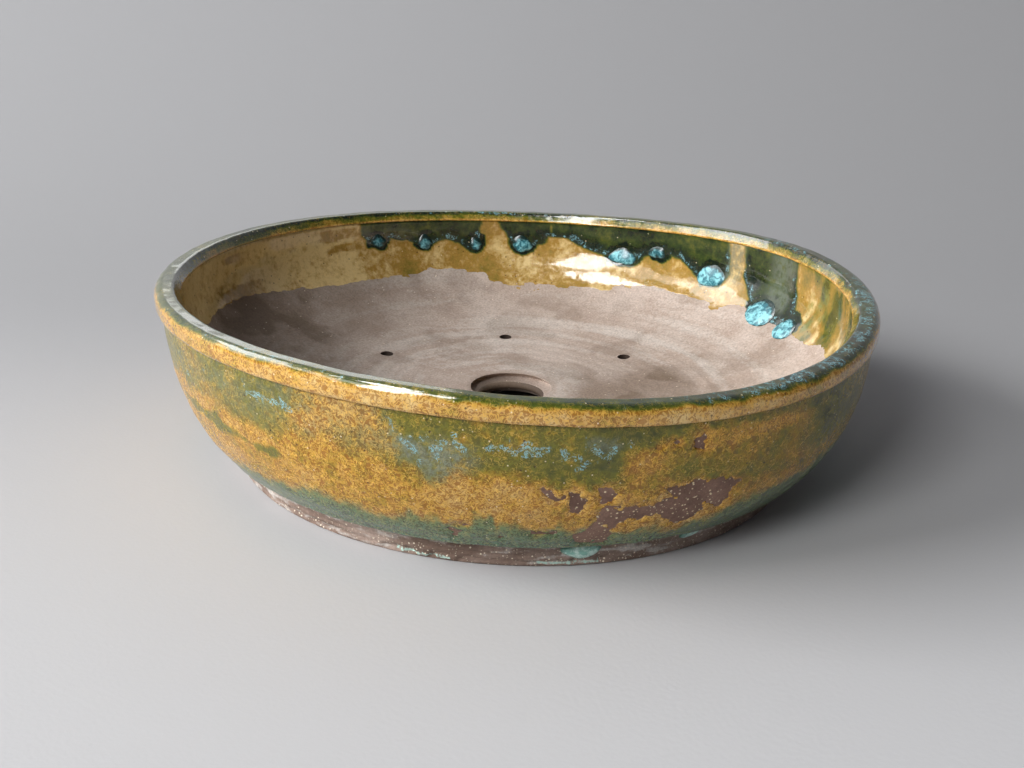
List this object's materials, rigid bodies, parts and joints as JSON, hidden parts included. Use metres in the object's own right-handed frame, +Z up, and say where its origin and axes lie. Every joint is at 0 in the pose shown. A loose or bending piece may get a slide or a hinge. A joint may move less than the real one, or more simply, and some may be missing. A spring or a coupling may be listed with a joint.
{
  "type": "shallow ceramic pot",
  "caption": "Shallow hand-thrown ceramic pot with a collared rim, crystalline glaze over a bare clay foot, a bevelled drain hole and wire holes in the floor",
  "frame": {"origin": "on the ground under the middle of the pot", "axes": "+Z up out of the mouth, +X along the longer way across, +Y along the shorter way across"},
  "size_m": [0.2603, 0.2484, 0.0673],
  "materials": {
    "bare_clay": "matt fired clay with fine throwing rings",
    "wall_clay": "matt fired clay under the glaze",
    "foot_clay": "matt fired clay, trimmed, with a pale bloom",
    "rim_glaze": "glossy green glaze with pale blue crystal streaks, amber where thin",
    "outer_glaze": "glossy amber to olive glaze with needle crystals, teal where it pools",
    "inner_glaze": "glossy dark green glaze running into amber",
    "pooled_glaze": "thick glossy turquoise glaze"
  },
  "bodies": {
    "root": {"foot_ring": "foot_clay", "floor_disc": "bare_clay", "wall_heel": "wall_clay", "wall_shell": "wall_clay", "rim_ring": "wall_clay", "rim_glaze": "rim_glaze", "outer_glaze": "outer_glaze", "inner_glaze": "inner_glaze", "glaze_bead_1": "pooled_glaze", "glaze_bead_2": "pooled_glaze", "glaze_bead_3": "pooled_glaze", "glaze_bead_4": "pooled_glaze", "glaze_bead_5": "pooled_glaze", "glaze_bead_6": "pooled_glaze", "glaze_bead_7": "pooled_glaze", "glaze_bead_8": "pooled_glaze", "glaze_bead_9": "pooled_glaze", "foot_run_1": "pooled_glaze", "foot_run_2": "pooled_glaze"}
  },
  "joints": []
}
